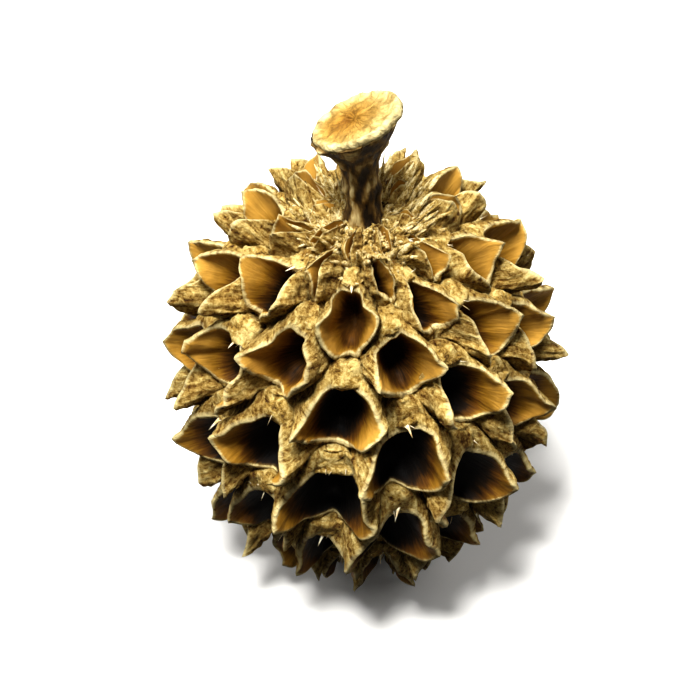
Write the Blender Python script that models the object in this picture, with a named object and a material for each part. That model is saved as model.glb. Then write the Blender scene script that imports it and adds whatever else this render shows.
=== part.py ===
"""A casuarina cone, open and dry, standing on its tip with its stalk up.

Whorls of small woody fruits grow round one axis, each whorl turned by half a fruit against the
next, so their bases share a net of six-cornered cells. Each fruit is a pair of valves that gape
round an eye-shaped opening, under the point of a coarse bract. Everything that grew on the axis
is one solid, the cone, and the dark stalk that it hung from is the other.
"""

import math
import random

import bmesh
import bpy
from mathutils import Vector

MM = 0.001

# Floors of the openings: an ellipse turned about Z, with its centre this high over the flat spot.
FLOOR_RADIUS = 4.2
FLOOR_HALF_HEIGHT = 6.6
CENTRE_HEIGHT = 10.3

# Whorls of fruits from the stalk down: latitude in degrees, and size against a full-grown fruit.
# The first and the last are rings of closed buds that end the net.
WHORLS = (
    (73.0, 0.5),
    (61.0, 0.74),
    (45.5, 0.9),
    (30.5, 1.0),
    (18.5, 1.02),
    (7.5, 1.0),
    (-3.3, 1.0),
    (-14.0, 1.0),
    (-25.0, 0.98),
    (-37.5, 0.92),
    (-52.0, 0.84),
    (-67.0, 0.76),
    (-78.0, 0.5),
)
FRUITS_PER_WHORL = 8
COLUMNS = 2 * FRUITS_PER_WHORL
COLUMN_TURN = 360.0 / COLUMNS
FIRST_AZIMUTH = -11.0

# The whorls are not quite true: columns waver and whorls tip by these angles, in slow waves.
COLUMN_WAVER = 3.5
WHORL_TIP = 1.2

# A cell's side corners, as a share of the way to the next column.
CORNER_REACH = 0.77

# Depths, as distances out of the floors: the valleys of the net at a cell's corners and between.
CORNER_OUT = 2.25
SLOPE_OUT = 2.45
LEDGE_OUT = 2.85
GROWTH_OUT = 2.4
CRATER_OUT = 1.9
APEX_OUT = 3.2

# Half of one fruit, from its top round its right side to its foot. Across and up are shares of the
# cell, out is in millimetres on a full-grown fruit.
SHOULDER = (
    (0.0, 0.93, 3.1),
    (0.26, 0.91, 3.15),
    (0.57, 0.45, 3.1),
    (0.89, -0.02, 3.1),
    (0.57, -0.45, 3.15),
    (0.26, -0.91, 3.1),
    (0.0, -0.94, 3.05),
)
EDGE = (
    (0.0, 0.6, 3.95),
    (0.24, 0.72, 3.45),
    (0.55, 0.38, 3.9),
    (0.79, -0.13, 4.85),
    (0.56, -0.45, 4.15),
    (0.28, -0.84, 3.6),
    (0.0, -0.91, 3.45),
)
RIM = (
    (0.0, 0.48, 3.4),
    (0.16, 0.48, 3.3),
    (0.42, 0.22, 3.75),
    (0.64, -0.13, 4.75),
    (0.45, -0.43, 4.05),
    (0.19, -0.71, 3.5),
    (0.0, -0.76, 3.3),
)
FLOOR_ACROSS = 0.42
FLOOR_UP = 0.55
FLOOR_OUT = 0.5

# How much one fruit differs from the next.
SIZE_SPREAD = 0.04
GAPE_LEAST = 0.88
GAPE_MOST = 1.06
TURN_SPREAD = 0.07
VALLEY_SPREAD = 0.15
SEED = 11

# The closed buds at both ends of the net: how far they stand out, and their share along the cell.
BUD_OUT = 0.5
BUD_ALONG = 0.35

# The socket in the crater that the stalk stands in, and the flat spot under the tip.
SOCKET_RADIUS = 1.15
SOCKET_DEPTH = 1.7
FLAT_RADIUS = 1.0

# The stalk, as rings along its bent line: height over its foot, radius, and lean to the left.
STALK_SIDES = 18
STALK_RINGS = (
    (0.0, 0.78, 0.0),
    (1.6, 0.84, 0.0),
    (2.1, 1.0, 0.0),
    (2.7, 0.84, 0.02),
    (3.7, 0.8, 0.06),
    (4.15, 0.92, 0.09),
    (4.6, 0.8, 0.12),
    (5.3, 0.88, 0.18),
    (6.15, 1.12, 0.24),
    (7.0, 1.7, 0.31),
    (7.55, 2.12, 0.34),
    (7.85, 2.22, 0.35),
    (8.0, 2.1, 0.35),
)
STALK_END_FLATNESS = 0.8
STALK_END_TILT = 29.0
STALK_END_BACK = 6.0
STALK_TILT_START = 5.2
STALK_GAP = 0.3
STALK_BARK = 0.05


def clear_scene():
    for thing in list(bpy.data.objects):
        bpy.data.objects.remove(thing, do_unlink=True)


def make_material(name, colour, roughness):
    material = bpy.data.materials.new(name)
    material.use_nodes = True
    shader = material.node_tree.nodes["Principled BSDF"]
    shader.inputs["Base Color"].default_value = (*colour, 1.0)
    shader.inputs["Roughness"].default_value = roughness
    shader.inputs["Metallic"].default_value = 0.0
    return material


def add_object(mesh, name, collection, material):
    data = bpy.data.meshes.new(name)
    mesh.to_mesh(data)
    mesh.free()
    data.materials.append(material)
    made = bpy.data.objects.new(name, data)
    collection.objects.link(made)


def cone_point(azimuth, latitude, out):
    """A point this far out of the floors, at an azimuth from the front and a surface latitude."""
    wave = math.sin(math.radians(2 * azimuth + 3 * latitude))
    lift = math.sin(math.radians(3 * azimuth + 40)) * math.cos(math.radians(latitude))
    turn = math.radians(azimuth + COLUMN_WAVER * wave)
    latitude += WHORL_TIP * lift
    cosine = math.cos(math.radians(latitude))
    sine = math.sin(math.radians(latitude))
    reach = math.hypot(FLOOR_RADIUS * cosine, FLOOR_HALF_HEIGHT * sine)
    radius = FLOOR_RADIUS**2 * cosine / reach + out * cosine
    height = FLOOR_HALF_HEIGHT**2 * sine / reach + out * sine + CENTRE_HEIGHT
    point = Vector((radius * math.sin(turn), -radius * math.cos(turn), max(height, 0.0)))
    return point * MM


def cell_angles(row, column, across, up):
    """Azimuth and latitude of a point of a cell, from its shares across and up."""
    latitude = WHORLS[row][0]
    if up > 0:
        latitude += up * (WHORLS[row - 1][0] - latitude)
    elif up < 0:
        latitude += -up * (WHORLS[row + 1][0] - latitude)
    azimuth = FIRST_AZIMUTH + COLUMN_TURN * (column + across * CORNER_REACH)
    return azimuth, latitude


class Net:
    """The net of valleys that the fruits' bases share. Each of its points is made once."""

    def __init__(self, mesh, draw):
        self.mesh = mesh
        self.draw = draw
        self.made = {}

    def valley_out(self, row, depth):
        """The net sinks into the crater round the stalk, and stands out at the tip of the cone."""
        ends = {0: CRATER_OUT - CORNER_OUT, len(WHORLS) - 1: APEX_OUT - CORNER_OUT}
        return depth + ends.get(row, 0.0)

    def corner(self, row, column, side):
        key = (row, column % COLUMNS, side)
        if key not in self.made:
            azimuth, latitude = cell_angles(row, column, side, 0.0)
            out = self.valley_out(row, CORNER_OUT) + self.draw.uniform(0.0, VALLEY_SPREAD)
            self.made[key] = (self.mesh.verts.new(cone_point(azimuth, latitude, out)), azimuth, latitude)
        return key

    def between(self, first, second, depth):
        key = tuple(sorted((first, second)))
        if key not in self.made:
            _, azimuth, latitude = self.made[first]
            _, other, other_latitude = self.made[second]
            gap = (other - azimuth + 180.0) % 360.0 - 180.0
            azimuth += 0.5 * gap
            latitude = 0.5 * (latitude + other_latitude)
            row = first[0] if first[0] == second[0] else None
            out = self.valley_out(row, depth) + self.draw.uniform(0.0, VALLEY_SPREAD)
            self.made[key] = (self.mesh.verts.new(cone_point(azimuth, latitude, out)), azimuth, latitude)
        return key

    def points(self, keys):
        return [self.made[key][0] for key in keys]

    def cell(self, row, column):
        """The twelve points round one cell, anticlockwise from the middle of its top."""
        right = self.corner(row, column, 1)
        left = self.corner(row, column, -1)
        top_right = self.corner(row - 1, column + 1, -1)
        top_left = self.corner(row - 1, column - 1, 1)
        foot_right = self.corner(row + 1, column + 1, -1)
        foot_left = self.corner(row + 1, column - 1, 1)
        keys = (
            self.between(top_left, top_right, LEDGE_OUT),
            top_left,
            self.between(top_left, left, SLOPE_OUT),
            left,
            self.between(left, foot_left, SLOPE_OUT),
            foot_left,
            self.between(foot_left, foot_right, LEDGE_OUT),
            foot_right,
            self.between(foot_right, right, SLOPE_OUT),
            right,
            self.between(right, top_right, SLOPE_OUT),
            top_right,
        )
        return self.points(keys)


def whole_outline(half):
    """Both sides of a fruit's outline, anticlockwise from its top."""
    left = [(-across, up, out) for across, up, out in half[1:-1]]
    return [half[0], *left, half[-1], *reversed(half[1:-1])]


def band(mesh, low, high):
    for i in range(len(low)):
        j = (i + 1) % len(low)
        mesh.faces.new((low[i], low[j], high[j], high[i]))


def fruit_ring(mesh, row, column, outline, size, turn):
    ring = []
    for across, up, out in outline:
        azimuth, latitude = cell_angles(row, column, across - turn * up, up + turn * across)
        out = min(out, GROWTH_OUT) + max(out - GROWTH_OUT, 0.0) * size
        ring.append(mesh.verts.new(cone_point(azimuth, latitude, out)))
    return ring


def add_fruit(mesh, net, row, column, draw):
    """One pair of valves on its cell: outer wall, rim, and inner wall down to the floor."""
    size = WHORLS[row][1] * (1.0 + draw.uniform(-SIZE_SPREAD, SIZE_SPREAD))
    turn = draw.uniform(-TURN_SPREAD, TURN_SPREAD)
    gape = draw.uniform(GAPE_LEAST, GAPE_MOST)
    shoulder = whole_outline(SHOULDER)
    edge = [(across * (1 + gape) / 2, up, out) for across, up, out in whole_outline(EDGE)]
    rim = [(across * gape, up, out) for across, up, out in whole_outline(RIM)]
    floor = [(across * FLOOR_ACROSS, up * FLOOR_UP, FLOOR_OUT) for across, up, _ in rim]
    rings = [net.cell(row, column)]
    for outline in (shoulder, edge, rim, floor):
        rings.append(fruit_ring(mesh, row, column, outline, size, turn))
    for low, high in zip(rings, rings[1:]):
        band(mesh, low, high)
    mesh.faces.new(rings[-1])


def add_bud(mesh, row, column, loop, up, out):
    """A closed bud on half a cell, at either end of the net."""
    azimuth, latitude = cell_angles(row, column, 0.0, up)
    crown = mesh.verts.new(cone_point(azimuth, latitude, out))
    for i, vert in enumerate(loop):
        mesh.faces.new((vert, loop[(i + 1) % len(loop)], crown))


def end_loop(net, row, next_row):
    """Closes the net with buds at one end. Returns the loop of points that they leave open."""
    lip = []
    for column in range(row % 2, COLUMNS, 2):
        left = net.corner(row, column, -1)
        right = net.corner(row, column, 1)
        near_left = net.corner(next_row, column - 1, 1)
        near_right = net.corner(next_row, column + 1, -1)
        following = net.corner(row, column + 2, -1)
        names = (
            left,
            net.between(left, near_left, SLOPE_OUT),
            near_left,
            net.between(near_left, near_right, LEDGE_OUT),
            near_right,
            net.between(near_right, right, SLOPE_OUT),
            right,
        )
        up = BUD_ALONG * (row - next_row)
        out = net.valley_out(row, CORNER_OUT) + BUD_OUT
        add_bud(net.mesh, row, column, net.points(names), up, out)
        lip += net.points((left, right, net.between(right, following, LEDGE_OUT)))
    return lip


def round_ring(mesh, lip, radius, height):
    """A ring under the lip's points, on a circle about the axis."""
    ring = []
    for vert in lip:
        turn = math.atan2(vert.co.y, vert.co.x)
        ring.append(mesh.verts.new(Vector((radius * math.cos(turn), radius * math.sin(turn), height)) * MM))
    return ring


def make_cone(collection, material):
    """The axis, the bracts and the valves, as one closed surface. Returns the crater's height."""
    mesh = bmesh.new()
    draw = random.Random(SEED)
    net = Net(mesh, draw)
    last = len(WHORLS) - 1
    for row in range(1, last):
        for column in range(row % 2, COLUMNS, 2):
            add_fruit(mesh, net, row, column, draw)
    crater = end_loop(net, 0, 1)
    crater_height = min(vert.co.z for vert in crater) / MM
    mouth = round_ring(mesh, crater, SOCKET_RADIUS, crater_height)
    bottom = round_ring(mesh, crater, SOCKET_RADIUS, crater_height - SOCKET_DEPTH)
    band(mesh, crater, mouth)
    band(mesh, mouth, bottom)
    mesh.faces.new(bottom)
    tip = end_loop(net, last, last - 1)
    flat = round_ring(mesh, tip, FLAT_RADIUS, 0.0)
    band(mesh, tip, flat)
    mesh.faces.new(flat)
    bmesh.ops.triangulate(mesh, faces=mesh.faces)
    bmesh.ops.recalc_face_normals(mesh, faces=mesh.faces)
    add_object(mesh, "cone", collection, material)
    return crater_height


def make_stalk(collection, material, crater_height):
    """The stalk, bent to the left, with knots where leaves grew and a flared, slanting cut end."""
    mesh = bmesh.new()
    draw = random.Random(SEED)
    foot = crater_height - SOCKET_DEPTH + STALK_GAP
    reach = STALK_RINGS[-1][0] - STALK_TILT_START
    rings = []
    for rise, radius, lean in STALK_RINGS:
        share = min(max((rise - STALK_TILT_START) / reach, 0.0), 1.0)
        left = math.radians(STALK_END_TILT) * share
        back = math.radians(STALK_END_BACK) * share
        ring = []
        for i in range(STALK_SIDES):
            turn = math.tau * i / STALK_SIDES
            rough = radius * (1.0 + draw.uniform(-STALK_BARK, STALK_BARK))
            across = rough * math.cos(turn)
            away = rough * math.sin(turn) * (1.0 + share * (STALK_END_FLATNESS - 1.0))
            height = foot + rise + across * math.sin(left) - away * math.sin(back)
            point = Vector((across * math.cos(left) - lean, away * math.cos(back), height))
            ring.append(mesh.verts.new(point * MM))
        rings.append(ring)
    for low, high in zip(rings, rings[1:]):
        band(mesh, low, high)
    mesh.faces.new(rings[0])
    mesh.faces.new(rings[-1])
    bmesh.ops.triangulate(mesh, faces=mesh.faces)
    bmesh.ops.recalc_face_normals(mesh, faces=mesh.faces)
    add_object(mesh, "stalk", collection, material)


clear_scene()
parts = bpy.data.collections.new("casuarina_cone")
bpy.context.scene.collection.children.link(parts)
cone_wood = make_material("straw_gold_cone_wood", (0.54, 0.40, 0.16), 0.75)
stalk_bark = make_material("dark_stalk_bark", (0.13, 0.08, 0.04), 0.85)
crater_floor = make_cone(parts, cone_wood)
make_stalk(parts, stalk_bark, crater_floor)
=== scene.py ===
"""An open, dried casuarina cone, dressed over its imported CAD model.

The file follows the cone as it grew: the axis, the fruits with their pairs of valves, the bracts
over them, the pale points and hairs of the bracts, the scales in the crater, the stalk and its cut
end. The floor, the lights and the camera come last.
"""

import math
import random

import bmesh
import bpy
import numpy as np
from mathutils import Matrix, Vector, noise


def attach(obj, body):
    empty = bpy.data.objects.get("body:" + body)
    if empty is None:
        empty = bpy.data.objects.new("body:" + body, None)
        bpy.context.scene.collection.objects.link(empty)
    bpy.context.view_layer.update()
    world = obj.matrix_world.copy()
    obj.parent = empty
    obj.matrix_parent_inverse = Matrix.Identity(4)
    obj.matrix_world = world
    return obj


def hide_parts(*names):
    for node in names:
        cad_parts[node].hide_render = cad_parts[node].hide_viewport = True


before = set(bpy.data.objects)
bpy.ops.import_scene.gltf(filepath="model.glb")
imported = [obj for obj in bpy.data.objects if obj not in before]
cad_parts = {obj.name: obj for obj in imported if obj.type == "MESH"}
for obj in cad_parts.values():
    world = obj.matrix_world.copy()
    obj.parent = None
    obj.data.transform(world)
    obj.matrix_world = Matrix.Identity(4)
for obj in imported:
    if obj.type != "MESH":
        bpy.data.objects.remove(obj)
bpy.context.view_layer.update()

# The axis: the woody stem that every fruit grew on, dry and corky, and of one growth with them. It
# fills the cone behind the fruits, and shows only as the rough floor of the crater round the stalk
# and as the small flat spot under the tip.

MM = 0.001

# The floors of the openings lie on an egg of this radius and half height, its centre this high over
# the table. A place on the cone is an azimuth and a latitude in degrees, and millimetres out of it.
FLOOR_RADIUS = 4.2
FLOOR_HALF_HEIGHT = 6.6
CENTRE_HEIGHT = 10.3

# The columns of fruits waver and the whorls tip by this many degrees.
COLUMN_WAVER = 3.5
WHORL_TIP = 1.2

# How far out the axis reaches at each latitude: at the tip, behind the fruits and in the crater.
AXIS_OUTLINE = ((-90.0, 3.75), (-80.0, 3.75), (-66.0, 0.1), (62.0, 0.1), (70.0, 1.75), (90.0, 1.75))
CRATER_LATITUDE = 60.0
CRATER_LUMP = 1.1
CRATER_LIFT = 0.3


def on_cone(azimuth, latitude, out):
    """Points at these angles, this many millimetres out of the floors of the openings."""
    wave = np.sin(np.radians(2 * azimuth + 3 * latitude))
    lift = np.sin(np.radians(3 * azimuth + 40)) * np.cos(np.radians(latitude))
    turn = np.radians(azimuth + COLUMN_WAVER * wave)
    tipped = np.radians(latitude + WHORL_TIP * lift)
    cosine, sine = np.cos(tipped), np.sin(tipped)
    reach = np.hypot(FLOOR_RADIUS * cosine, FLOOR_HALF_HEIGHT * sine)
    radius = FLOOR_RADIUS**2 * cosine / reach + out * cosine
    height = FLOOR_HALF_HEIGHT**2 * sine / reach + out * sine + CENTRE_HEIGHT
    over_table = np.maximum(height, 0.0)
    return np.stack([radius * np.sin(turn), -radius * np.cos(turn), over_table], axis=-1) * MM


def corky(points, lump, octaves, seed):
    """Rough cork as a height from about -1 to 1 at each point, its lumps this many mm wide."""
    start = Vector((seed, 2.0 * seed, 3.0 * seed))
    return np.array([noise.fractal(Vector(p) / (lump * MM) + start, 0.9, 2.0, octaves) for p in points])


def whole_mesh(made, name):
    """The finished bmesh as mesh data, smooth shaded."""
    data = bpy.data.meshes.new(name)
    made.to_mesh(data)
    made.free()
    data.shade_smooth()
    return data


def get_points(data):
    flat = np.empty(len(data.vertices) * 3)
    data.vertices.foreach_get("co", flat)
    return flat.reshape(-1, 3)


def set_points(data, points):
    data.vertices.foreach_set("co", points.astype(np.float32).ravel())
    data.update()


def show(data, name, finish, slot, *stands_for):
    """Puts a finished mesh in the scene, riding on the cone's one body."""
    data.materials.append(finish)
    piece = bpy.data.objects.new(name, data)
    bpy.context.scene.collection.objects.link(piece)
    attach(piece, "root")
    if stands_for:
        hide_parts(*stands_for)


def paint(colour):
    """An sRGB hex colour as the linear colour that a shader takes."""
    shares = [int(colour[i : i + 2], 16) / 255 for i in (1, 3, 5)]
    return (*[s / 12.92 if s <= 0.04045 else ((s + 0.055) / 1.055) ** 2.4 for s in shares], 1.0)


def new_finish(name, roughness, gleam=0.2):
    """A material with its node tree and its Principled shader."""
    finish = bpy.data.materials.new(name)
    finish.use_nodes = True
    shader = finish.node_tree.nodes["Principled BSDF"]
    shader.inputs["Roughness"].default_value = roughness
    shader.inputs["Specular IOR Level"].default_value = gleam
    return finish, finish.node_tree, shader


def add_node(tree, kind, settings, inputs, stops=(), output=0):
    """One output of a new node with these settings, its inputs as values or links, and a ramp's
    stops, the first two of which are its ends."""
    node = tree.nodes.new(kind)
    for key, value in settings.items():
        setattr(node, key, value)
    for key, value in inputs.items():
        if isinstance(value, bpy.types.NodeSocket):
            tree.links.new(value, node.inputs[key])
        else:
            node.inputs[key].default_value = value
    for i, (place, colour) in enumerate(stops):
        stop = node.color_ramp.elements[i] if i < 2 else node.color_ramp.elements.new(place)
        stop.position = place
        stop.color = paint(colour)
    return node.outputs[output]


def corky_wood(name, groove, middle, ridge, lump, lift):
    """Dry corky wood, cracked as it shrank. It has no shine, and the eye sees pale lumps, so many mm
    wide, with brown between them, and painted shade, near black, where the piece's depth attribute
    says so. Real cork grit is about 0.05 mm wide, and is drawn coarser here so that it shows."""
    finish, tree, shader = new_finish(name, 0.86)
    place = add_node(tree, "ShaderNodeTexCoord", {}, {}, output="Object")
    scale = 1.0 / (lump * MM)
    inputs = {"Vector": place, "Scale": scale, "Detail": 7.0, "Roughness": 0.72, "Distortion": 0.4}
    grit = add_node(tree, "ShaderNodeTexNoise", {}, inputs)
    inputs = {"Vector": place, "Scale": 0.3 * scale, "Detail": 3.0, "Roughness": 0.5}
    patches = add_node(tree, "ShaderNodeTexNoise", {}, inputs)
    inputs = {0: patches, 1: 0.7, 2: grit}
    height = add_node(tree, "ShaderNodeMath", {"operation": "MULTIPLY_ADD"}, inputs)
    inputs = {"Value": height, "From Min": 0.64, "From Max": 1.04}
    share = add_node(tree, "ShaderNodeMapRange", {}, inputs)
    stops = ((0.0, groove), (1.0, ridge), (0.4, middle))
    tint = add_node(tree, "ShaderNodeValToRGB", {}, {"Fac": share}, stops)
    # Painted shade: where the piece sinks among its neighbours, its depth mixes the colour towards near
    # black.
    depth = add_node(tree, "ShaderNodeAttribute", {"attribute_name": "depth"}, {}, output="Fac")
    inputs = {0: depth, 6: tint, 7: paint("#1D0F04")}
    tint = add_node(tree, "ShaderNodeMix", {"data_type": "RGBA"}, inputs, output=2)
    tree.links.new(tint, shader.inputs["Base Color"])
    inputs = {"Height": height, "Distance": lift * MM, "Strength": 1.0}
    tree.links.new(add_node(tree, "ShaderNodeBump", {}, inputs), shader.inputs["Normal"])
    return finish


axis = bmesh.new()
bmesh.ops.create_uvsphere(axis, u_segments=96, v_segments=64, radius=1.0)
axis_data = whole_mesh(axis, "axis")
ball = get_points(axis_data)
latitude = np.degrees(np.arcsin(np.clip(ball[:, 2], -1.0, 1.0)))
azimuth = np.degrees(np.arctan2(ball[:, 0], -ball[:, 1]))
out = np.interp(latitude, *zip(*AXIS_OUTLINE))
lumps = corky(on_cone(azimuth, latitude, out), CRATER_LUMP, 5, 4.0)
out += CRATER_LIFT * lumps * (latitude > CRATER_LATITUDE)
set_points(axis_data, on_cone(azimuth, latitude, out))
axis_wood = corky_wood("corky_casuarina_axis_wood", "#321D07", "#93763A", "#E2CC88", 0.26, 0.18)
show(axis_data, "axis", axis_wood, "cone_wood")

# The fruits: eighty-eight pairs of thin woody valves that dried and gaped round an eye-shaped
# opening, with half shut ones round the crater and the tip. Each is grown from the axis and into its
# neighbours, rough straw-gold cork outside and a smooth amber spoon inside, under a pale waved rim.

# Latitude of each whorl from the stalk down, and its size against a full-grown fruit. The net ends
# past the first and the last of them. Every other whorl is turned by one column, half a fruit.
WHORLS = (
    (73.0, 0.5),
    (61.0, 0.74),
    (45.5, 0.9),
    (30.5, 1.0),
    (18.5, 1.02),
    (7.5, 1.0),
    (-3.3, 1.0),
    (-14.0, 1.0),
    (-25.0, 0.98),
    (-37.5, 0.92),
    (-52.0, 0.84),
    (-67.0, 0.76),
    (-78.0, 0.5),
)
NET_ENDS = {-1: 84.0, len(WHORLS): -87.0}
LATITUDES = NET_ENDS | {row: latitude for row, (latitude, _) in enumerate(WHORLS)}
SIZES = [size for _, size in WHORLS]
COLUMNS = 16
COLUMN_TURN = 360.0 / COLUMNS
FIRST_AZIMUTH = -11.0
CORNER_REACH = 0.77
# A fruit is bigger or smaller than the others only from this far out.
GROWTH_OUT = 2.4
# Low on the cone the upper half of an opening is taller by this share.
LOW_TALLNESS = ((5, 0.0), (8, 0.32))

# Half of a fruit from its top round its right side to its foot, in rings from its root to its rim.
# Across and up are shares of the cell, out is in millimetres.
ROOT = (
    (0, 1.05, 0.3), (0.32, 1.05, 0.3), (0.68, 0.53, 0.3), (1.05, 0, 0.3),
    (0.68, -0.53, 0.3), (0.32, -1.05, 0.3), (0, -1.05, 0.3),
)
VALLEY = (
    (0, 1.02, 2.8), (0.31, 1.02, 2.6), (0.66, 0.51, 2.55), (1.02, 0, 2.35),
    (0.66, -0.51, 2.45), (0.31, -1.02, 2.25), (0, -1.02, 2.35),
)
SHOULDER = (
    (0, 0.97, 3.0), (0.28, 0.94, 3.1), (0.59, 0.46, 3.1), (0.9, -0.06, 3.1),
    (0.59, -0.48, 3.0), (0.28, -0.93, 2.7), (0, -0.96, 2.5),
)
FLANK = (
    (0, 0.8, 3.15), (0.26, 0.77, 3.2), (0.59, 0.38, 3.55), (0.82, -0.15, 3.85),
    (0.6, -0.52, 3.55), (0.29, -0.89, 2.95), (0, -0.93, 2.6),
)
EDGE = (
    (0, 0.52, 3.1), (0.25, 0.52, 3.3), (0.55, 0.25, 3.95), (0.69, -0.25, 4.5),
    (0.56, -0.6, 4.1), (0.3, -0.85, 3.2), (0, -0.9, 2.65),
)
# The rings inside an opening follow its edge: shares of its width and height, how far down they
# move, and their out as a share of the edge's and millimetres more.
INNER_EDGE = (0.86, 0.86, 0.018, 1.0, -0.05)
UNDER_RIM = (0.85, 0.87, 0.018, 1.0, -0.4)
SPOON = (0.74, 0.8, 0.015, 0.62, 0.2)
WAIST = (0.5, 0.62, 0.02, 0.0, 1.6)
FLOOR = (0.2, 0.42, 0.03, 0.0, 0.7)
# Where the mesh has its rings, counted in the rings above from the root. The rim is ring 4.
ALONG = (0, 1, 1.4, 1.7, 2, 2.3, 2.6, 2.8, 3, 3.25, 3.5, 3.75, 4)
ALONG += (4.5, 5, 5.4, 6, 6.35, 6.7, 7, 7.3, 7.6, 8, 8.5, 9)
RIM = 4
AROUND = 64
# Counted round a ring in keys from its top, the two valves have their tips here.
KEYS_AROUND = 12
TIPS = (3, 9)
TIP_CROWDING = 0.6

# The lining goes dark earlier by this share of its depth, by whorl, for less light comes in there.
LINING_DARKNESS = ((2, -0.36), (4, -0.2), (5, 0.02), (7, 0.36))

# How the fruits differ, as shares either way of their size, their turn and their place in the cell,
# and the least and most that a valve's tip reaches out and hooks up.
SIZE_SPREAD = 0.09
TURN_SPREAD = 0.15
SHIFT_SPREAD = 0.05
REACHES = (-0.2, 0.35)
HOOKS = (-0.22, 0.14)
# A tip is drawn out by so many mm and its reach times a share, and aside by a share of the cell, and
# the rim beside it is pinched in. Widths and the pinch's place are in keys round the ring.
BEAK_OUT = 0.2
BEAK_REACH = 0.4
BEAK_ASIDE = 0.07
BEAK_WIDTH = 0.42
PINCH_IN = 0.05
PINCH_PLACE = 0.6
PINCH_WIDTH = 0.35

# Millimetres long and high that the rims wave, with shorter ripples of a share of that.
WAVE_LENGTH = 1.9
RIPPLE_LENGTH = 0.8
RIPPLE_SHARE = 0.3
WAVE_LIFT = 0.45
# The cork's lumps, ribs and grit in mm, how high it stands outside and on the lining, and the share
# of that which the rim is without.
LUMP_WIDTH = 0.9
RIB_WIDTH = 0.34
GRIT_WIDTH = 0.28
CORK_LIFT = 0.34
LINING_LIFT = 0.02
RIM_SMOOTHNESS = 0.6
# Patterns that follow the fibres are drawn out along them to one over this share.
FIBRE_SHARE = 0.22


def get_normals(data):
    flat = np.empty(len(data.vertices) * 3)
    data.vertex_normals.foreach_get("vector", flat)
    return flat.reshape(-1, 3)


def keep_value(data, name, values):
    """One number for each vertex, for the material to read."""
    data.attributes.new(name, "FLOAT", "POINT").data.foreach_set("value", values.astype(np.float32))


def through(keys, place):
    """A smooth curve through a row of keys, at these places along it."""
    first = np.clip(np.floor(place).astype(int), 0, len(keys) - 2)
    t = (place - first)[:, None, None]
    before, a = keys[np.maximum(first - 1, 0)], keys[first]
    b, after = keys[first + 1], keys[np.minimum(first + 2, len(keys) - 1)]
    bend = (2 * before - 5 * a + 4 * b - after) * t**2 + (3 * a - before - 3 * b + after) * t**3
    return a + 0.5 * ((b - before) * t + bend)


def fruit_form():
    """Across, up and out of every point of a fruit, ring by ring, before it is placed, and where
    each column of points stands, counted in keys round the ring."""
    halves = [ROOT, VALLEY, SHOULDER, FLANK, EDGE]
    for wide, tall, down, share, more in (INNER_EDGE, UNDER_RIM, SPOON, WAIST, FLOOR):
        halves.append([(wide * across, tall * up - down, share * out + more) for across, up, out in EDGE])
    keys = []
    for half in halves:
        left = [(-across, up, out) for across, up, out in half[1:-1]]
        keys.append([half[0], *left, half[-1], *reversed(half[1:-1])])
    keys = np.array(keys, float).transpose(1, 0, 2)
    keys = np.concatenate([keys[-1:], keys, keys[:2]])
    share = np.arange(AROUND) / AROUND
    # The points stand closer together at the tips, a quarter and three quarters of the way round.
    share -= TIP_CROWDING * np.sin(4 * np.pi * (share - 0.25)) / (4 * np.pi)
    around = through(keys, 1 + KEYS_AROUND * share).transpose(1, 0, 2)
    return through(around, np.array(ALONG, float)), KEYS_AROUND * share


def in_cell(row, column, across, up):
    """Azimuth and latitude of points of a cell, from their shares across and up."""
    here, above, below = (LATITUDES[near] for near in (row, row - 1, row + 1))
    latitude = here + np.where(up > 0, up * (above - here), -up * (below - here))
    return FIRST_AZIMUTH + COLUMN_TURN * (column + across * CORNER_REACH), latitude


def places_in(rows):
    """Row and column of every fruit of these whorls."""
    return [(row, column) for row in rows for column in range(row % 2, COLUMNS, 2)]


def tallness(row):
    """How much taller the upper half of an opening is in this whorl."""
    return np.interp(row, *zip(*LOW_TALLNESS))


def tube(around, rings):
    """A closed tube: a circle drawn out ring by ring, along Z from 0 to its last ring's number."""
    made = bmesh.new()
    bmesh.ops.create_circle(made, cap_ends=True, segments=around, radius=1.0)
    edges = list(made.edges)
    for _ in range(rings - 1):
        grown = bmesh.ops.extrude_edge_only(made, edges=edges)["geom"]
        points = [g for g in grown if isinstance(g, bmesh.types.BMVert)]
        edges = [g for g in grown if isinstance(g, bmesh.types.BMEdge)]
        edges = [edge for edge in edges if all(v in points for v in edge.verts)]
        bmesh.ops.translate(made, verts=points, vec=(0.0, 0.0, 1.0))
    bmesh.ops.edgeloop_fill(made, edges=edges)
    bmesh.ops.recalc_face_normals(made, faces=made.faces)
    return made


form, station = fruit_form()
fruit_data = whole_mesh(tube(AROUND, len(ALONG)), "one_fruit")
tube_points = get_points(fruit_data)
ring_of = np.rint(tube_points[:, 2]).astype(int)
place_of = np.rint(np.arctan2(tube_points[:, 1], tube_points[:, 0]) / math.tau * AROUND)
place_of = place_of.astype(int) % AROUND
form = form[ring_of, place_of]
along = np.array(ALONG, float)[ring_of]
rim_points = np.flatnonzero(ring_of == ALONG.index(RIM))
rim_point_of = rim_points[np.argsort(place_of[rim_points])][place_of]
# Shares that say how free of the cone a point is, and how near to a tip, beside it and to the rim.
free = np.clip((along - 1.5) / 2.5, 0.0, 1.0)
off_tip = np.minimum(abs(station - TIPS[0]), abs(station - TIPS[1]))[place_of]
beak = np.exp(-off_tip / BEAK_WIDTH)
pinch = np.exp(-(((off_tip - PINCH_PLACE) / PINCH_WIDTH) ** 2))
rimness = np.exp(-(((along - 4.45) / 0.8) ** 2))


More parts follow.
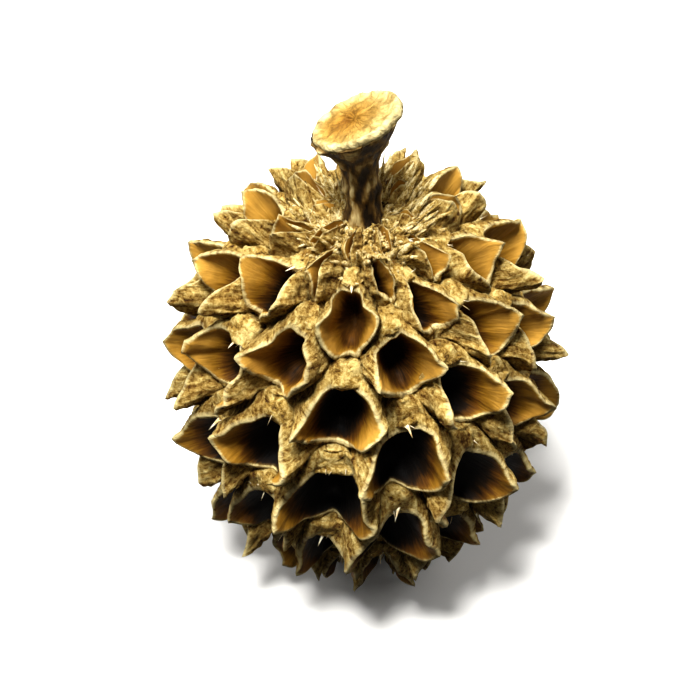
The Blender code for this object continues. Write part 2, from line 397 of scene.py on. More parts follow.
def grow_fruit(row, column, draw, gapes):
    """The points of one fruit in its place, its valves open by a share between these two."""
    size = SIZES[row] * (1.0 + draw.uniform(-SIZE_SPREAD, SIZE_SPREAD))
    turn = draw.uniform(-TURN_SPREAD, TURN_SPREAD)
    across, up, out = form.T.copy()
    side = np.sign(across)
    limits = (gapes, REACHES, HOOKS)
    gape, reach, hook = (np.where(side > 0, draw.uniform(*pair), draw.uniform(*pair)) for pair in limits)
    up *= 1.0 + tallness(row) * free * (up > 0)
    out += beak * rimness * (BEAK_OUT + BEAK_REACH * reach)
    across += side * rimness * (BEAK_ASIDE * beak - PINCH_IN * pinch)
    up += beak * rimness * hook
    across = across * (1.0 + (gape - 1.0) * free) + free * draw.uniform(-SHIFT_SPREAD, SHIFT_SPREAD)
    up += free * draw.uniform(-SHIFT_SPREAD, SHIFT_SPREAD)
    out = np.minimum(out, GROWTH_OUT) + np.maximum(out - GROWTH_OUT, 0.0) * size
    return on_cone(*in_cell(row, column, across - turn * up * free, up + turn * across * free), out)


def make_fruits(name, rows, gapes, seed, *stands_for):
    """The fruits of some whorls as one piece, each with its own size, turn, gape and surface."""
    draw = random.Random(seed)
    places = places_in(rows)
    many = len(places)
    grown = bmesh.new()
    for _ in places:
        grown.from_mesh(fruit_data)
    data = whole_mesh(grown, name)
    points, fibres, tones = [], [], []
    for row, column in places:
        placed = grow_fruit(row, column, draw, gapes)
        rim = placed[rim_point_of]
        points.append(placed)
        # The wood's fibres run from the root to the rim, so their pattern is drawn out that way.
        fibres.append(rim + FIBRE_SHARE * (placed - rim))
        tones.append(np.full(len(placed), draw.random()))
    points, fibres = np.concatenate(points), np.concatenate(fibres)
    waves = np.array([noise.noise_vector(Vector(p) / (WAVE_LENGTH * MM)) for p in fibres])
    ripples = np.array([noise.noise_vector(Vector(p) / (RIPPLE_LENGTH * MM)) for p in fibres])
    waves += RIPPLE_SHARE * ripples
    curl = np.tile(free * np.clip((8.5 - along) / 3.5, 0.0, 1.0), many)
    points = points + waves * curl[:, None] * WAVE_LIFT * MM
    set_points(data, points)
    normals = get_normals(data)
    lumps = 0.4 * corky(points, LUMP_WIDTH, 5, seed + 1.0)
    lumps += 0.35 * corky(fibres, RIB_WIDTH, 3, seed + 5.0)
    lumps += 0.25 * corky(points, GRIT_WIDTH, 2, seed + 7.0)
    outside = np.tile(np.clip((4.3 - along) / 0.6, 0.0, 1.0), many)
    lift = CORK_LIFT * lumps * outside + LINING_LIFT * (1 - outside) * lumps
    lift *= 1 - RIM_SMOOTHNESS * np.tile(rimness, many)
    points = points + normals * lift[:, None] * MM
    points[:, 2] = np.maximum(points[:, 2], 0.0)
    set_points(data, points)
    row_of = np.repeat([row for row, _ in places], len(along))
    # The material reads how far inside, how near the rim, how deep and how low a point is, the
    #     fruit's own tone, and the fibres; depth and lowness set its painted shade. Places along a fruit
    #     are counted in its rings.
    keep_value(data, "inside", np.tile(np.clip((along - 4.6) / 0.5, 0.0, 1.0), many))
    keep_value(data, "rim", np.tile(np.exp(-(((along - 4.4) / 0.7) ** 2)), many))
    keep_value(data, "depth", np.tile(np.clip((4.1 - form[:, 2]) / 2.1, 0.0, 1.0), many))
    keep_value(data, "low", np.interp(row_of, *zip(*LINING_DARKNESS)))
    keep_value(data, "tone", np.concatenate(tones))
    fibre = data.attributes.new("fibre", "FLOAT_VECTOR", "POINT")
    fibre.data.foreach_set("vector", fibres.astype(np.float32).ravel())
    show(data, name, valve_wood, "cone_wood", *stands_for)


# Dried casuarina valve wood, weathered outside and clean where the seed lay. Outside it is matt cork
# with ribs about 0.3 mm wide, brown in the grooves and straw on the ribs, and painted shade, near
# black, in the valleys where valves meet and on the lower whorls. The lining is hard, smooth and
# amber with a low sheen, falling away into its own dark brown and then into painted shade, brown to
# black, in the hollow. Its fibres are about 0.1 mm wide and drawn at 0.16 mm so that they show.
valve_wood, tree, shader = new_finish("dried_casuarina_valve_wood", 0.8, gleam=0.12)
place = add_node(tree, "ShaderNodeTexCoord", {}, {}, output="Object")
inside, rim, depth, tone, low = (
    add_node(tree, "ShaderNodeAttribute", {"attribute_name": name}, {}, output="Fac")
    for name in ("inside", "rim", "depth", "tone", "low")
)
fibre = add_node(tree, "ShaderNodeAttribute", {"attribute_name": "fibre"}, {}, output="Vector")
mixing = {"data_type": "RGBA"}

# The cork outside: straw ribs with brown grit between them, and painted shade where valves meet.
inputs = {"Vector": fibre, "Scale": 1 / (0.3 * MM), "Detail": 8.0, "Roughness": 0.68}
ribs = add_node(tree, "ShaderNodeTexNoise", {}, inputs)
inputs = {"Vector": place, "Scale": 1 / (0.2 * MM), "Detail": 6.0, "Roughness": 0.7, "Distortion": 0.3}
grit = add_node(tree, "ShaderNodeTexNoise", {}, inputs)
rough = add_node(tree, "ShaderNodeMath", {"operation": "ADD"}, {0: ribs, 1: grit})
spread = add_node(tree, "ShaderNodeMapRange", {}, {"Value": rough, "From Min": 0.74, "From Max": 1.26})
stops = ((0.0, "#38210A"), (1.0, "#EDD994"), (0.2, "#68481A"), (0.46, "#A08142"), (0.72, "#C7AB66"))
cork = add_node(tree, "ShaderNodeValToRGB", {}, {"Fac": spread}, stops)
# Painted shade: the valleys between the fruits go near black with depth.
inputs = {"Value": depth, "From Min": 0.5, "From Max": 0.95, "To Min": 0.0, "To Max": 0.97}
shade = add_node(tree, "ShaderNodeMapRange", {}, inputs)
cork = add_node(tree, "ShaderNodeMix", mixing, {0: shade, 6: cork, 7: paint("#1D0F04")}, output=2)

# The lining: amber under the rim, then its own dark brown and painted shade, brown to black, in its
# depth, the painted shade starting earlier low on the cone and in some fruits.
inputs = {"Vector": fibre, "Scale": 1 / (0.16 * MM), "Detail": 4.0, "Roughness": 0.55}
grain = add_node(tree, "ShaderNodeTexNoise", {}, inputs)
inputs = {"Value": grain, "From Min": 0.3, "From Max": 0.7, "To Min": -0.1, "To Max": 0.1}
waver = add_node(tree, "ShaderNodeMapRange", {}, inputs)
# Painted shade: the lining goes dark sooner by a random share for each fruit, and more so low on the
# cone.
deeper = add_node(tree, "ShaderNodeMath", {"operation": "ADD"}, {0: depth, 1: waver})
earlier = add_node(tree, "ShaderNodeMath", {"operation": "MULTIPLY_ADD"}, {0: tone, 1: 0.3, 2: low})
deeper = add_node(tree, "ShaderNodeMath", {"operation": "ADD"}, {0: deeper, 1: earlier})
stops = ((0.05, "#B4883A"), (1.0, "#070402"), (0.36, "#88621D"), (0.58, "#53340C"), (0.8, "#1C1004"))
lining = add_node(tree, "ShaderNodeValToRGB", {}, {"Fac": deeper}, stops)
wood = add_node(tree, "ShaderNodeMix", mixing, {0: inside, 6: cork, 7: lining}, output=2)

# The rim, worn pale, and then weather in broad patches, fruits lighter or darker, and painted shade
# on the lower whorls, darker low down.
edge = add_node(tree, "ShaderNodeMath", {"operation": "MULTIPLY"}, {0: rim, 1: ribs})
inputs = {"Value": edge, "From Min": 0.26, "From Max": 0.5, "To Min": 0.0, "To Max": 0.88}
edge = add_node(tree, "ShaderNodeMapRange", {}, inputs)
wood = add_node(tree, "ShaderNodeMix", mixing, {0: edge, 6: wood, 7: paint("#EBD89C")}, output=2)
inputs = {"Vector": place, "Scale": 1 / (1.5 * MM), "Detail": 4.0, "Roughness": 0.6}
weather = add_node(tree, "ShaderNodeTexNoise", {}, inputs)
inputs = {"Value": weather, "From Min": 0.36, "From Max": 0.62, "To Min": 0.76, "To Max": 1.1}
weather = add_node(tree, "ShaderNodeMapRange", {}, inputs)
bright = add_node(tree, "ShaderNodeMapRange", {}, {"Value": tone, "To Min": 0.86, "To Max": 1.08})
# Painted shade: the lower whorls darker by up to a fifth, where less light reaches them.
inputs = {"Value": low, "From Min": 0.0, "From Max": 0.3, "To Min": 1.0, "To Max": 0.8}
lower = add_node(tree, "ShaderNodeMapRange", {}, inputs)
bright = add_node(tree, "ShaderNodeMath", {"operation": "MULTIPLY"}, {0: bright, 1: weather})
bright = add_node(tree, "ShaderNodeMath", {"operation": "MULTIPLY"}, {0: bright, 1: lower})
wood = add_node(tree, "ShaderNodeHueSaturation", {}, {"Color": wood, "Value": bright})
tree.links.new(wood, shader.inputs["Base Color"])

# The lining is smoother than the cork, so it shines a little and its relief is low.
gloss = add_node(tree, "ShaderNodeMapRange", {}, {"Value": inside, "To Min": 0.88, "To Max": 0.66})
tree.links.new(gloss, shader.inputs["Roughness"])
height = add_node(tree, "ShaderNodeMix", {"data_type": "FLOAT"}, {0: inside, 2: rough, 3: grain})
strength = add_node(tree, "ShaderNodeMapRange", {}, {"Value": inside, "To Min": 1.0, "To Max": 0.25})
inputs = {"Height": height, "Distance": 0.2 * MM, "Strength": strength}
tree.links.new(add_node(tree, "ShaderNodeBump", {}, inputs), shader.inputs["Normal"])

# The waves of the rims start from this number, so that the cone grows the same every time.
noise.seed_set(11)
make_fruits("valves_crater", [1], (0.25, 0.6), 20)
make_fruits("valves_upper", [2, 3, 4], (0.92, 1.08), 21, "cone")
make_fruits("valves_middle", [5, 6, 7, 8], (0.92, 1.08), 22)
make_fruits("valves_lower", [9, 10, 11], (0.9, 1.04), 23)
make_fruits("shut_valves", [0, 12], (0.25, 0.5), 24)

# The bracts: a coarse, lumpy, squarish shield of pale cork over the top of every opening, where the
# old leaf tooth stood. It is grown together with the backs of the valves on both sides.

OPEN_ROWS = range(1, 12)
BRACT_CENTRE_UP = 0.74
BRACT_HALF_WIDTH = 0.52
BRACT_HALF_HEIGHT = 0.27
# The points of a ball raised to this power give a block with round edges.
BRACT_SQUARENESS = 0.42
# How far out the middle of a bract is in each whorl, and how far its face stands out of that.
BRACT_OUTS = ((1, 2.35), (3, 2.6), (4, 2.65), (5, 2.4))
BRACT_HALF_DEPTH = 0.72
# Its face leans in by this many mm at the top, and it narrows by these shares to its top, its foot
# and its root. Where openings are taller it is higher up and less tall by shares of that.
BRACT_LEAN_IN = 0.15
TOP_TAPER = 0.32
FOOT_TAPER = 0.2
ROOT_TAPER = 0.36
TALL_RAISE = 0.42
TALL_SQUASH = 0.26

block = bmesh.new()
bmesh.ops.create_uvsphere(block, u_segments=40, v_segments=20, radius=1.0)
block_data = whole_mesh(block, "one_bract")
ball = get_points(block_data)
aside, upward, outward = (np.sign(ball) * abs(ball) ** BRACT_SQUARENESS).T
draw = random.Random(31)
grown = bmesh.new()
points, painted_bract_shades = [], []
for row, column in places_in(OPEN_ROWS):
    grown.from_mesh(block_data)
    wide = BRACT_HALF_WIDTH * draw.uniform(0.86, 1.02)
    tall = (BRACT_HALF_HEIGHT - TALL_SQUASH * tallness(row)) * draw.uniform(0.9, 1.15)
    lean = draw.uniform(-0.04, 0.04)
    up = BRACT_CENTRE_UP + TALL_RAISE * tallness(row) + tall * upward
    taper = 1.0 - np.where(upward < 0, FOOT_TAPER, TOP_TAPER) * upward
    taper *= 1.0 - ROOT_TAPER + ROOT_TAPER * outward
    across = wide * aside * taper + lean * upward
    out = np.interp(row, *zip(*BRACT_OUTS)) + BRACT_HALF_DEPTH * outward - BRACT_LEAN_IN * upward
    # Painted shade on the bract's sides, where they sink among the valves: the deeper, the darker.
    painted_bract_shades.append(np.clip((3.0 - out) / 0.9, 0.0, 0.95))
    out = np.minimum(out, GROWTH_OUT) + np.maximum(out - GROWTH_OUT, 0.0) * SIZES[row]
    points.append(on_cone(*in_cell(row, column, across, up), out))
points = np.concatenate(points)
bract_data = whole_mesh(grown, "bracts")
set_points(bract_data, points)
lift = 0.2 * corky(points, 1.0, 6, 31) + 0.12 * corky(points, 0.32, 4, 33.0)
set_points(bract_data, points + get_normals(bract_data) * lift[:, None] * MM)
keep_value(bract_data, "depth", np.concatenate(painted_bract_shades))
bract_cork = corky_wood("pale_casuarina_bract_cork", "#3A2006", "#A07F3A", "#E6CF88", 0.2, 0.2)
show(bract_data, "bracts", bract_cork, "cone_wood")

# The points and hairs of the bracts: one small, dry, white, papery point at the end of many a bract,
# hanging over its opening, and a few stiff pale hairs round it. They grew out of the bract, and are
# the brightest specks of the cone.

POINT_SHARE = 0.4
POINT_LENGTH = 0.5
POINT_OUTS = (3.15, 3.65)
POINT_SAG = 0.1
HAIRS = 3
HAIR_OUT = 3.2
HAIR_RADIUS = 0.03
HAIR_STRAY = 0.16


def make_spikes(name, sides, roots, finish):
    """Thin tapered spikes with so many sides. A root gives its start, end, bend and radius."""
    spike = bmesh.new()
    bmesh.ops.create_cone(spike, cap_ends=True, segments=sides, radius1=1.0, radius2=0.08, depth=1.0)
    long_edges = [e for e in spike.edges if abs(e.verts[0].co.z - e.verts[1].co.z) > 0.5]
    bmesh.ops.subdivide_edges(spike, edges=long_edges, cuts=2)
    spike_data = whole_mesh(spike, "one_spike")
    shape = get_points(spike_data)
    shape[:, 2] += 0.5
    many = bmesh.new()
    points = []
    for start, end, bend, radius in roots:
        many.from_mesh(spike_data)
        way = end - start
        turned = np.array(way.to_track_quat("Z", "Y").to_matrix())
        placed = (shape * (radius, radius, way.length)) @ turned.T
        points.append(placed + np.array(start) + np.outer(shape[:, 2] ** 2, bend))
    data = whole_mesh(many, name)
    set_points(data, np.concatenate(points))
    show(data, name, finish, "cone_wood")


def cell_point(row, column, across, up, out):
    """One point of a cell, its out taken for a full-grown fruit."""
    out = min(out, GROWTH_OUT) + max(out - GROWTH_OUT, 0.0) * SIZES[row]
    angles = in_cell(row, column, np.array([across]), np.array([up]))
    return Vector(on_cone(*angles, np.array([out]))[0])


draw = random.Random(41)
points, hairs = [], []
for row, column in places_in(OPEN_ROWS):
    across = draw.uniform(-0.08, 0.08)
    top = 0.52 * (1.0 + tallness(row))
    start = cell_point(row, column, across, top, POINT_OUTS[0])
    end_across = across + draw.uniform(-0.1, 0.1)
    end_up = top - 0.02 - draw.uniform(0.2, 0.34) * POINT_LENGTH
    end = cell_point(row, column, end_across, end_up, POINT_OUTS[1])
    if draw.random() < POINT_SHARE:
        radius = draw.uniform(0.08, 0.13) * SIZES[row] * MM
        points.append((start, end, Vector((0, 0, -POINT_SAG * MM)), radius))
    for _ in range(HAIRS):
        root_across = across + draw.uniform(-0.3, 0.3)
        root = cell_point(row, column, root_across, top + draw.uniform(-0.05, 0.12), HAIR_OUT)
        stray = Vector([draw.uniform(-1, 1) for _ in range(3)]) * HAIR_STRAY * MM
        tip = root + (end - start).normalized() * draw.uniform(0.18, 0.4) * MM + stray
        hairs.append((root, tip, stray * 0.5, HAIR_RADIUS * MM))

# Papery bract tissue, bleached as it dried: matt and almost white, stained straw in patches that
# keep it from looking like plastic.
papery, tree, shader = new_finish("papery_bract_points", 0.6)
place = add_node(tree, "ShaderNodeTexCoord", {}, {}, output="Object")
inputs = {"Vector": place, "Scale": 1 / (0.4 * MM), "Detail": 4.0}
stain = add_node(tree, "ShaderNodeTexNoise", {}, inputs)
tint = add_node(tree, "ShaderNodeValToRGB", {}, {"Fac": stain}, ((0.35, "#C7A668"), (0.6, "#F4EBCB")))
tree.links.new(tint, shader.inputs["Base Color"])
make_spikes("bract_points", 6, points, papery)
make_spikes("bract_hairs", 3, hairs, papery)

# The crater's scales: the last leaf teeth of the stem, dry, pointed and of the same pale cork. They
# grew in rings round the stalk and down the slopes between the first fruits, with short woolly hairs
# between them.

CRATER_HEIGHT = 18.4
CRATER_DISH = 0.1
SHORT_SCALES = 260
LONG_SCALES = 110
SLOPE_SCALES = 420
WOOL_HAIRS = 600
WOOL_RADIUS = 0.025
# More of the long scales stand round this azimuth, to the right of the stalk, than elsewhere.
LONG_SCALES_ROUND = 110.0
LONG_SCALES_SPREAD = 95.0
# Scales and wool stay out of the openings, which start this far from the stalk, and on the slopes
# below this latitude, and reach halfway to the next fruit.
SCALES_TO = 1.75
WOOL_TO = 1.6
SLOPE_FREE_FROM = 67.0
OPENING_REACH = 0.5
SLOPE_LATITUDES = (56.0, 80.0)
SLOPE_OUTS = (2.6, 3.6)


def in_crater(turn, ring, height):
    """The way out from the stalk at this turn, and the point at this radius and height in mm."""
    outward = Vector((math.sin(turn), -math.cos(turn), 0.0))
    return outward, (outward * ring + Vector((0, 0, height))) * MM


def off_fruit(azimuth):
    """How far this is from the nearest fruit of the crater, from 0 to 1 halfway to the next."""
    return abs((azimuth - FIRST_AZIMUTH) / COLUMN_TURN % 2 - 1)


def scale_root(start, aim, length, bend, radius):
    """Start, end, bend and radius of a scale that points this way, for make_spikes."""
    return start, start + aim.normalized() * length * MM, bend * MM, radius * MM


draw = random.Random(51)
scales, wool = [], []
for _ in range(SHORT_SCALES):
    turn = draw.uniform(0.0, math.tau)
    ring = 0.8 + 1.5 * draw.random() ** 1.6
    height = CRATER_HEIGHT + draw.uniform(-0.2, 0.3) - CRATER_DISH * (ring - 1.0) ** 2
    outward, start = in_crater(turn, ring, height)
    length = draw.uniform(0.6, 1.3) + 0.5 * max(1.4 - ring, 0.0) * draw.random()
    aim = outward * draw.uniform(0.1, 0.8)
    aim += Vector((draw.uniform(-0.3, 0.3), draw.uniform(-0.3, 0.3), 1.0))
    if ring <= SCALES_TO or off_fruit(math.degrees(turn)) >= OPENING_REACH:
        bend = outward * draw.uniform(0.0, 0.4)
        scales.append(scale_root(start, aim, length, bend, draw.uniform(0.14, 0.3)))
for _ in range(LONG_SCALES):
    turn = math.radians(draw.gauss(LONG_SCALES_ROUND, LONG_SCALES_SPREAD))
    outward, start = in_crater(turn, draw.uniform(0.95, 2.3), CRATER_HEIGHT)
    aim = outward * draw.uniform(0.2, 0.7)
    aim += Vector((draw.uniform(-0.2, 0.2), draw.uniform(-0.2, 0.2), 1.0))
    length = draw.uniform(1.3, 2.6)
    bend = outward * draw.uniform(0.2, 0.8)
    scales.append(scale_root(start, aim, length, bend, draw.uniform(0.2, 0.4)))
for _ in range(WOOL_HAIRS):
    turn = draw.uniform(0.0, math.tau)
    ring = 0.9 + 1.3 * draw.random() ** 1.4
    outward, start = in_crater(turn, ring, CRATER_HEIGHT - CRATER_DISH * (ring - 1.0) ** 2)
    aim = Vector((draw.uniform(-1, 1), draw.uniform(-1, 1), draw.uniform(0.4, 1.6))).normalized()
    if ring <= WOOL_TO or off_fruit(math.degrees(turn)) >= OPENING_REACH:
        bend = aim.cross(outward) * 0.15
        wool.append(scale_root(start, aim, draw.uniform(0.4, 0.9), bend, WOOL_RADIUS))
for _ in range(SLOPE_SCALES):
    azimuth, latitude = draw.uniform(0.0, 360.0), draw.uniform(*SLOPE_LATITUDES)
    root, outer = (Vector(on_cone(azimuth, latitude, out)) for out in SLOPE_OUTS)
    aim = (outer - root).normalized() + Vector([draw.uniform(-0.7, 0.7) for _ in range(3)])
    length = draw.uniform(0.5, 0.95)
    scale = scale_root(root, aim, length, Vector((0, 0, -0.15)), draw.uniform(0.13, 0.26))
    if latitude > SLOPE_FREE_FROM or off_fruit(azimuth) > OPENING_REACH:
        scales.append(scale)
scale_cork = corky_wood("dry_leaf_scale_cork", "#2C1704", "#A38643", "#F6E6B0", 0.14, 0.12)
make_spikes("crater_scales", 6, scales, scale_cork)
make_spikes("crater_wool", 3, wool, papery)

# The stalk: a short, almost upright woody stem that the cone hung from, grown out of the crater. Its
# thin, dark, flaking bark is knotted where side leaves stood, and it flares and tilts under the cut.

STALK_FOOT = 17.2
# Rise over the foot, radius and lean to the left, in millimetres, as in the CAD model.
STALK_RINGS = (
    (0.0, 0.78, 0.0),
    (1.6, 0.84, 0.0),
    (2.1, 1.0, 0.0),
    (2.7, 0.84, 0.02),
    (3.7, 0.8, 0.06),
    (4.15, 0.92, 0.09),
    (4.6, 0.8, 0.12),
    (5.3, 0.88, 0.18),
    (6.15, 1.12, 0.24),
    (7.0, 1.7, 0.31),
    (7.55, 2.12, 0.34),
    (7.85, 2.22, 0.35),
    (8.0, 2.1, 0.35),
)
STALK_RISES, STALK_RADII, STALK_LEANS = zip(*STALK_RINGS)
STALK_HEIGHT = STALK_RISES[-1]
# The flared end is an oval of this flatness, tilted to the left and back from this rise up.
STALK_END_FLATNESS = 0.8
STALK_END_TILT = 29.0
STALK_END_BACK = 6.0
STALK_TILT_START = 5.2
STALK_STEPS = 110
STALK_SIDES = 72
# The bark starts this far inside the CAD surface, so that its flakes lie about on it, and ends this
# far under the cut, inside the cut end.
BARK_INSET = 0.06
BARK_END = 0.3
# Flakes and knots are so many mm wide and high, and the flakes are drawn out to one over a share.
FLAKE_WIDTH = 0.45
FLAKE_LIFT = 0.13
FLAKE_SHARE = 0.25
KNOT_WIDTH = 1.6
KNOT_LIFT = 0.1


def on_stalk(rise, radius, turn, lean):
    """Points of the stalk at this rise over its foot, their radius, turn and lean in millimetres."""
    share = np.clip((rise - STALK_TILT_START) / (STALK_HEIGHT - STALK_TILT_START), 0.0, 1.0)
    left = np.radians(STALK_END_TILT) * share
    back = np.radians(STALK_END_BACK) * share
    across = radius * np.cos(turn)
    away = radius * np.sin(turn) * (1.0 + share * (STALK_END_FLATNESS - 1.0))
    height = STALK_FOOT + rise + across * np.sin(left) - away * np.sin(back)
    return np.stack([across * np.cos(left) - lean, away * np.cos(back), height], axis=-1) * MM


bark_data = whole_mesh(tube(STALK_SIDES, STALK_STEPS), "stalk_bark")
shape = get_points(bark_data)
rise = shape[:, 2] / (STALK_STEPS - 1) * STALK_HEIGHT
radius = np.interp(rise, STALK_RISES, STALK_RADII) - BARK_INSET
rise = np.minimum(rise, STALK_HEIGHT - BARK_END)
lean = np.interp(rise, STALK_RISES, STALK_LEANS)
turn = np.arctan2(shape[:, 1], shape[:, 0])
smooth = on_stalk(rise, radius, turn, lean)
flakes = corky(smooth * np.array((1.0, 1.0, FLAKE_SHARE)), FLAKE_WIDTH, 5, 61.0)
radius += FLAKE_LIFT * flakes + KNOT_LIFT * corky(smooth, KNOT_WIDTH, 3, 62.0)
set_points(bark_data, on_stalk(rise, radius, turn, lean))
keep_value(bark_data, "ridge", np.clip(0.5 + 0.9 * flakes, 0.0, 1.0))

# Stem bark, dried until it flaked lengthwise: matt, and to the eye dark brown fissures about 0.3 mm
# wide between straw-brown ridges.
flaking_bark, tree, shader = new_finish("flaking_stem_bark", 0.82)
place = add_node(tree, "ShaderNodeTexCoord", {}, {}, output="Object")
drawn = add_node(tree, "ShaderNodeMapping", {}, {"Vector": place, "Scale": (1.0, 1.0, 0.18)})
inputs = {"Vector": drawn, "Scale": 1 / (0.3 * MM), "Detail": 7.0, "Roughness": 0.65, "Distortion": 0.6}
fissure = add_node(tree, "ShaderNodeTexNoise", {}, inputs)
ridge = add_node(tree, "ShaderNodeAttribute", {"attribute_name": "ridge"}, {}, output="Fac")
both = add_node(tree, "ShaderNodeMath", {"operation": "ADD"}, {0: fissure, 1: ridge})
spread = add_node(tree, "ShaderNodeMapRange", {}, {"Value": both, "From Min": 0.6, "From Max": 1.5})
stops = ((0.0, "#1E1306"), (1.0, "#C4B07C"), (0.34, "#4B3613"), (0.62, "#856B3B"))
tint = add_node(tree, "ShaderNodeValToRGB", {}, {"Fac": spread}, stops)
tree.links.new(tint, shader.inputs["Base Color"])
inputs = {"Height": fissure, "Distance": 0.2 * MM, "Strength": 1.0}
tree.links.new(add_node(tree, "ShaderNodeBump", {}, inputs), shader.inputs["Normal"])
show(bark_data, "bark", flaking_bark, "stalk_bark", "stalk")

# The cut end: the slanting face where the stalk was cut or broke from its twig. It is end grain, amber
# brown round a pith left of its middle, with fine rays, in a raised cream ring of young wood and bark.

# From the skirt round the stalk over the ring to the middle: shares of the radius, and mm outwards.
CUT_RINGS = (
    (1.0, -0.35), (1.02, -0.12), (1.01, 0.02), (0.97, 0.1), (0.93, 0.1), (0.88, 0.05), (0.82, 0.0),
    (0.74, -0.03), (0.66, -0.02), (0.57, 0.0), (0.48, 0.02), (0.39, 0.03), (0.3, 0.05), (0.21, 0.05),
    (0.12, 0.04), (0.05, 0.03),
)
CUT_RADIUS = 2.08
CUT_SIDES = 128
PITH = (-0.45, 0.1)
# Its outline wavers by this share of the radius, and the wood and the rays stand up by so many mm.
# The rays end at a radius, inside the ring of young wood, which starts at a share of it.
CUT_WAVER = 0.07
CUT_LIFT = 0.09
RAY_LIFT = 0.03
RAYS_TO = 1.8
YOUNG_WOOD_FROM = 0.72
YOUNG_WOOD_FADE = 0.16

cut_data = whole_mesh(tube(CUT_SIDES, len(CUT_RINGS)), "cut_end")
shape = get_points(cut_data)
ring_share, ring_lift = np.array(CUT_RINGS)[np.rint(shape[:, 2]).astype(int)].T
turn = np.arctan2(shape[:, 1], shape[:, 0])
spokes = np.stack([np.cos(turn), np.sin(turn), np.zeros_like(turn)], axis=-1) * MM
radius = CUT_RADIUS * ring_share * (1.0 + CUT_WAVER * corky(spokes, 0.5, 4, 71.0))
rays = corky(spokes * 4.0 + 0.3 * shape * (0, 0, MM), 0.5, 3, 72.0)
lumps = corky(spokes * radius[:, None], 0.5, 4, 73.0)
lift = ring_lift + RAY_LIFT * rays * (radius < RAYS_TO) + CUT_LIFT * lumps
flat = on_stalk(STALK_HEIGHT, radius, turn, STALK_LEANS[-1])
# The middle of the face and a point to either side give the way that it looks.
three_turns = np.array((0.0, 0.0, math.pi / 2))
middle, right, away = on_stalk(STALK_HEIGHT, np.array((0.0, 1.0, 1.0)), three_turns, STALK_LEANS[-1])
outward = Vector(right - middle).cross(Vector(away - middle)).normalized()
set_points(cut_data, flat + np.outer(lift * MM, outward))
share = radius / CUT_RADIUS
off_pith = np.hypot(radius * np.cos(turn) - PITH[0], radius * np.sin(turn) - PITH[1]) / CUT_RADIUS
outer = np.clip((share - YOUNG_WOOD_FROM) / YOUNG_WOOD_FADE, 0.0, 1.0)
keep_value(cut_data, "spread", (1.0 - outer) * np.minimum(off_pith, 0.85) + outer * share)
keep_value(cut_data, "rays", 0.5 + 0.5 * rays)

# Sawn stem end grain, left to dry: it has a slight sheen, and the eye sees amber going over to cream
# outwards, mottled about 0.5 mm wide, with pale rays.
cut_wood, tree, shader = new_finish("cut_stem_end_grain", 0.7)
place = add_node(tree, "ShaderNodeTexCoord", {}, {}, output="Object")
inputs = {"Vector": place, "Scale": 1 / (0.5 * MM), "Detail": 6.0, "Roughness": 0.65, "Distortion": 0.6}
mottle = add_node(tree, "ShaderNodeTexNoise", {}, inputs)
far, rays = (
    add_node(tree, "ShaderNodeAttribute", {"attribute_name": name}, {}, output="Fac")
    for name in ("spread", "rays")
)
edge = add_node(tree, "ShaderNodeMath", {"operation": "MULTIPLY_ADD"}, {0: mottle, 1: 0.7, 2: far})
edge = add_node(tree, "ShaderNodeMath", {"operation": "MULTIPLY"}, {0: edge, 1: 0.74})
stops = ((0.28, "#835618"), (1.0, "#D3C088"), (0.5, "#9C722A"), (0.76, "#AC8944"), (0.9, "#BFA566"))
tint = add_node(tree, "ShaderNodeValToRGB", {}, {"Fac": edge}, stops)
inputs = {"Value": mottle, "From Min": 0.36, "From Max": 0.64, "To Min": 0.55, "To Max": 1.12}
bright = add_node(tree, "ShaderNodeMapRange", {}, inputs)
tint = add_node(tree, "ShaderNodeHueSaturation", {}, {"Color": tint, "Value": bright})
tree.links.new(tint, shader.inputs["Base Color"])
both = add_node(tree, "ShaderNodeMath", {"operation": "ADD"}, {0: mottle, 1: rays})
inputs = {"Height": both, "Distance": 0.15 * MM, "Strength": 1.0}
tree.links.new(add_node(tree, "ShaderNodeBump", {}, inputs), shader.inputs["Normal"])
show(cut_data, "cut_end", cut_wood, "stalk_bark")

# Floor, light and camera: a plain pale table, a soft light almost overhead, a little to the left and
# the front, two weaker and larger ones from the left and the right, an even pale studio, and a
# camera that looks down at 45 degrees. All their sizes are in metres.

TABLE_HALF_WIDTH = 6.0

floor = bmesh.new()
bmesh.ops.create_grid(floor, x_segments=1, y_segments=1, size=TABLE_HALF_WIDTH)
floor_data = whole_mesh(floor, "floor")
table_top, tree, shader = new_finish("pale_table", 0.6)
shader.inputs["Base Color"].default_value = paint("#EDEBE7")
floor_data.materials.append(table_top)
table = bpy.data.objects.new("floor", floor_data)
bpy.context.scene.collection.objects.link(table)
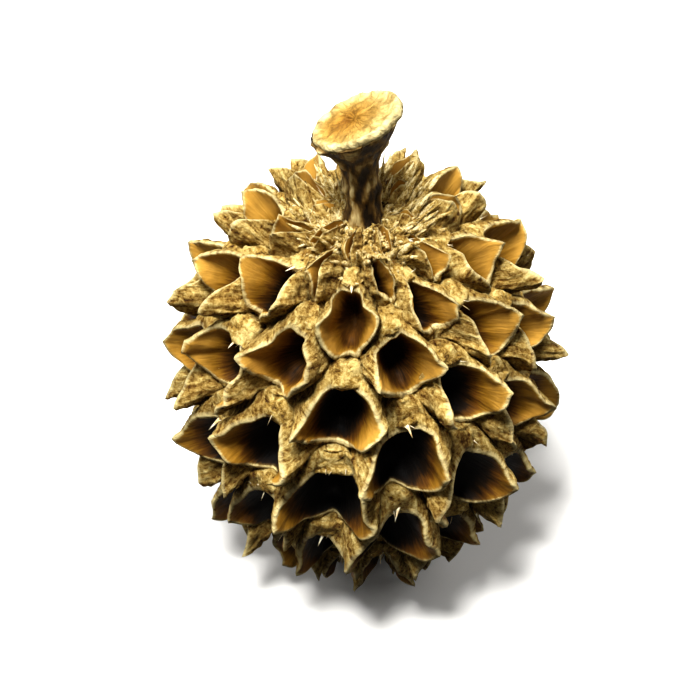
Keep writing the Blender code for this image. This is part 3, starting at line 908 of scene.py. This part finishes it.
# The table throws no light up at the underside, which stays dark.
table.visible_diffuse = False

LIGHT_AIM = Vector((0.0, 0.0, 0.012))


def add_light(name, size, power, place):
    """A square soft light of this size in metres and power in watts, turned towards the cone."""
    lamp = bpy.data.lights.new(name, "AREA")
    lamp.size = size
    lamp.energy = power
    light = bpy.data.objects.new(name, lamp)
    light.location = place
    light.rotation_euler = (LIGHT_AIM - Vector(place)).to_track_quat("-Z", "Y").to_euler()
    bpy.context.scene.collection.objects.link(light)


add_light("key", 0.07, 1.46, (-0.035, -0.06, 0.25))
add_light("left", 0.2, 0.34, (-0.22, 0.06, 0.13))
add_light("right", 0.2, 0.34, (0.2, 0.11, 0.13))

# The studio is pale and even, and dark only under the level of the table.
world = bpy.data.worlds.new("studio")
world.use_nodes = True
tree = world.node_tree
view = add_node(tree, "ShaderNodeTexCoord", {}, {}, output="Generated")
upward = add_node(tree, "ShaderNodeSeparateXYZ", {}, {"Vector": view}, output="Z")
inputs = {"Value": upward, "From Min": -0.06, "From Max": -0.03, "To Min": 0.02, "To Max": 0.14}
glow = add_node(tree, "ShaderNodeMapRange", {}, inputs)
tree.nodes["Background"].inputs["Color"].default_value = paint("#FFFFFF")
tree.links.new(glow, tree.nodes["Background"].inputs["Strength"])
bpy.context.scene.world = world
bpy.context.scene.view_settings.view_transform = "Standard"
bpy.context.scene.view_settings.look = "Medium High Contrast"

CAMERA_AIM = Vector((-0.0006, 0.0, 0.0122))
CAMERA_DISTANCE = 0.2
CAMERA_LOOKS_DOWN = math.radians(45.0)

lens = bpy.data.cameras.new("camera")
lens.lens = 232.0
lens.sensor_width = 36.0
lens.clip_start = 0.01
lens.clip_end = 10.0
camera = bpy.data.objects.new("camera", lens)
back = Vector((0.0, -math.cos(CAMERA_LOOKS_DOWN), math.sin(CAMERA_LOOKS_DOWN)))
camera.location = CAMERA_AIM + back * CAMERA_DISTANCE
camera.rotation_euler = (-back).to_track_quat("-Z", "Y").to_euler()
bpy.context.scene.collection.objects.link(camera)
bpy.context.scene.camera = camera
